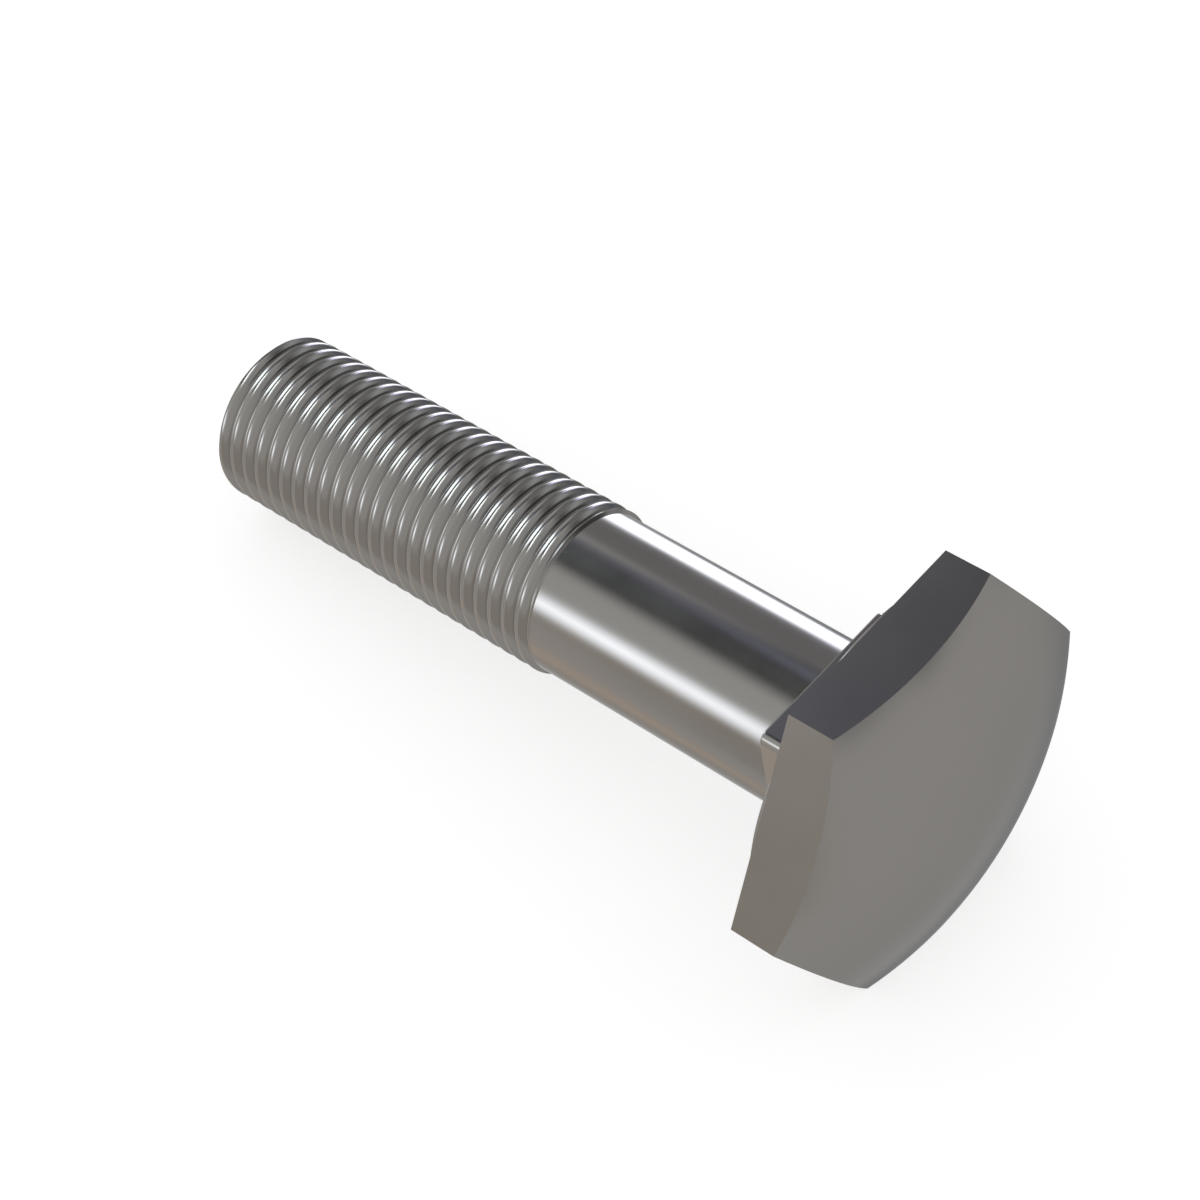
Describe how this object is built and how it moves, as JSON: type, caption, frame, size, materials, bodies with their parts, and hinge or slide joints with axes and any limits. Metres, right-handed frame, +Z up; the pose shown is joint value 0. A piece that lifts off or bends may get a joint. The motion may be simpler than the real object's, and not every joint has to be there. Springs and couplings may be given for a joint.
{
  "type": "hex head square neck bolt",
  "caption": "Bolt with a domed hexagon head, a thin bearing disc, a short square neck that stops it turning, a plain shank and a fine right-hand thread.",
  "frame": {"origin": "centre of the bearing face under the head, on the bolt's axis", "axes": "+X up the bolt's axis towards the head, seen from above; +Y along the flat that the head lies on; +Z up. The bolt lies at rest, so its axis slopes up towards the head at 7.33 degrees."},
  "size_m": [0.0638, 0.0312, 0.0273],
  "materials": {
    "steel": "plain smooth steel, softly polished"
  },
  "bodies": {
    "root": {"bolt": "steel"}
  },
  "joints": []
}
